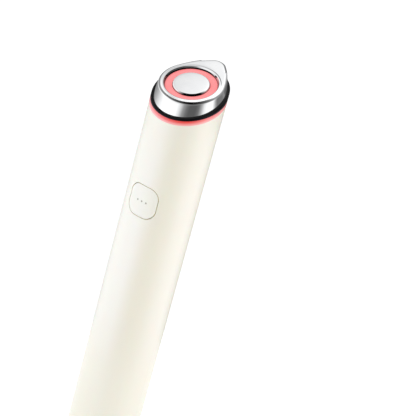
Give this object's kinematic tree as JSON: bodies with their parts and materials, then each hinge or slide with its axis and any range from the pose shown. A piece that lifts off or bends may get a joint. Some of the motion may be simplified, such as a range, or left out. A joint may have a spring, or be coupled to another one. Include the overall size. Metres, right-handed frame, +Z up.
{
  "type": "portable facial device",
  "caption": "Slim round handheld facial wand with a flush push button, a red light ring and a slanted polished metal head with a beak.",
  "frame": {"origin": "centre of the flat foot, on the barrel's axis", "axes": "+Z up the barrel towards the metal head, -Y the side with the push button, the head's beak at the +Y side"},
  "size_m": [0.022, 0.0235, 0.1345],
  "materials": {
    "cream_shell": "satin",
    "button_shell": "satin",
    "dot_ink": "matte",
    "light_ring": "translucent gloss",
    "face_light": "translucent satin",
    "gloss_black": "gloss",
    "seal_rubber": "matte",
    "soft_seal": "matte",
    "polished_metal": "mirror polish",
    "grey_moulding": "matte",
    "circuit_board": "satin",
    "light_chip": "gloss",
    "chip_black": "matte",
    "gold_contact": "gloss",
    "steel_screw": "satin",
    "motor_steel": "satin",
    "weight_alloy": "matte",
    "cell_wrap": "satin",
    "nickel": "satin",
    "foam": "matte",
    "ribbon_film": "gloss",
    "plunger_white": "satin"
  },
  "bodies": {
    "root": {"barrel": "cream_shell", "bottom_cap": "cream_shell", "cap_seal": "seal_rubber", "light_ring": "light_ring", "insulator_ring": "gloss_black", "outer_electrode": "polished_metal", "face_light_guide": "face_light", "inner_electrode": "polished_metal", "head_carrier": "grey_moulding", "face_board": "circuit_board", "face_leds": "light_chip", "ring_board": "circuit_board", "ring_leds": "light_chip", "contact_pins": "gold_contact", "inner_frame": "grey_moulding", "head_screws": "steel_screw", "main_board": "circuit_board", "board_chips": "chip_black", "board_screws": "steel_screw", "switch_body": "chip_black", "button_seal": "soft_seal", "motor_case": "motor_steel", "motor_boot": "seal_rubber", "battery_cell": "cell_wrap", "battery_tabs": "nickel", "battery_pad": "foam", "link_ribbon": "ribbon_film", "usb_board": "circuit_board", "usb_socket": "nickel"},
    "button": {"button_cap": "button_shell", "indicator_dots": "dot_ink", "switch_plunger": "plunger_white"},
    "rotor": {"motor_shaft": "motor_steel", "motor_weight": "weight_alloy"}
  },
  "joints": [
    {"name": "button_press", "type": "slide", "parent": "root", "child": "button", "axis": [0, 1, 0], "range_m": [0, 0.0003], "stiffness_N_per_m": 4000},
    {"name": "motor_spin", "type": "hinge", "parent": "root", "child": "rotor", "pos_m": [0, 0.0024, 0.0945], "axis": [0, 0, 1], "continuous": true}
  ]
}
